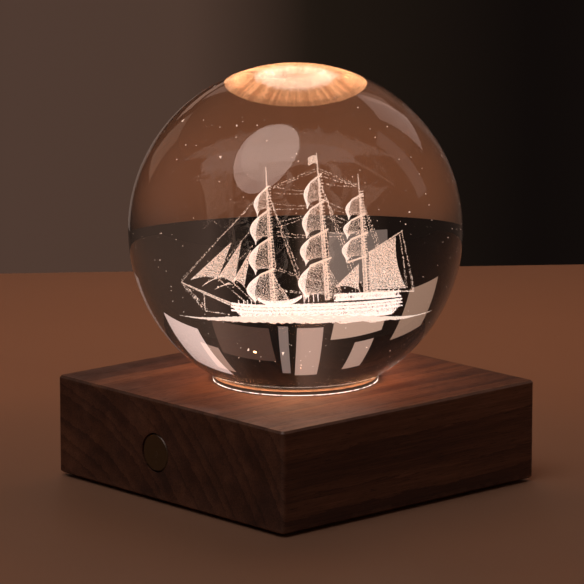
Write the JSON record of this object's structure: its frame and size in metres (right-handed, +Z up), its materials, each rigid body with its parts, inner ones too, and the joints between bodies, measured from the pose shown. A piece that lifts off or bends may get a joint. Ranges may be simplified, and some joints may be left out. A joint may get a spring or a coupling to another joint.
{
  "type": "table lamp",
  "caption": "Solid glass ball with a sailing ship engraved inside, lit from below by a square walnut base with a push button and a charging port.",
  "frame": {"origin": "on the surface that the feet stand on, under the middle of the base", "axes": "+Z up; the push button is in the -Y face of the base and the charging port in its +Y face"},
  "size_m": [0.0812, 0.0812, 0.1008],
  "materials": {
    "crystal": "polished, clear",
    "clear_rubber": "clear, satin",
    "walnut": "oiled, satin",
    "frosted_window": "frosted, lit",
    "white_plastic": "moulded",
    "white_board": "solder mask",
    "phosphor": "silicone, lit",
    "steel": "zinc plated",
    "brown_plastic": "satin",
    "black_plastic": "moulded",
    "green_board": "solder mask",
    "silver_foil": "laminated foil",
    "foam": "foam tape",
    "red_wire": "smooth",
    "black_wire": "smooth",
    "foot_rubber": "matte"
  },
  "bodies": {
    "base": {"seat_ring": "clear_rubber", "base_block": "walnut", "light_window": "frosted_window", "reflector_cup": "white_plastic", "led_board": "white_board", "led_chip": "phosphor", "led_screw_1": "steel", "led_screw_2": "steel", "button_bush": "black_plastic", "switch_body": "black_plastic", "control_board": "green_board", "usb_shell": "steel", "usb_tongue": "black_plastic", "control_chip": "black_plastic", "charge_chip": "black_plastic", "inductor": "black_plastic", "led_socket": "white_plastic", "battery_socket": "white_plastic", "board_screw_1": "steel", "board_screw_2": "steel", "board_screw_3": "steel", "board_screw_4": "steel", "battery_cell": "silver_foil", "battery_tape": "foam", "led_lead_red": "red_wire", "led_lead_black": "black_wire", "battery_lead_red": "red_wire", "battery_lead_black": "black_wire", "bottom_cover": "black_plastic", "cover_screw_1": "steel", "cover_screw_2": "steel", "cover_screw_3": "steel", "cover_screw_4": "steel", "foot_1": "foot_rubber", "foot_2": "foot_rubber", "foot_3": "foot_rubber", "foot_4": "foot_rubber"},
    "ball": {"crystal_ball": "crystal"},
    "button": {"button_cap": "brown_plastic", "switch_plunger": "black_plastic"}
  },
  "joints": [
    {"name": "ball_lift", "type": "slide", "parent": "base", "child": "ball", "axis": [0, 0, 1], "range_m": [0, 0.04]},
    {"name": "button_press", "type": "slide", "parent": "base", "child": "button", "axis": [0, 1, 0], "range_m": [0, 0.0008], "stiffness_N_per_m": 300, "springref_m": -0.001}
  ]
}
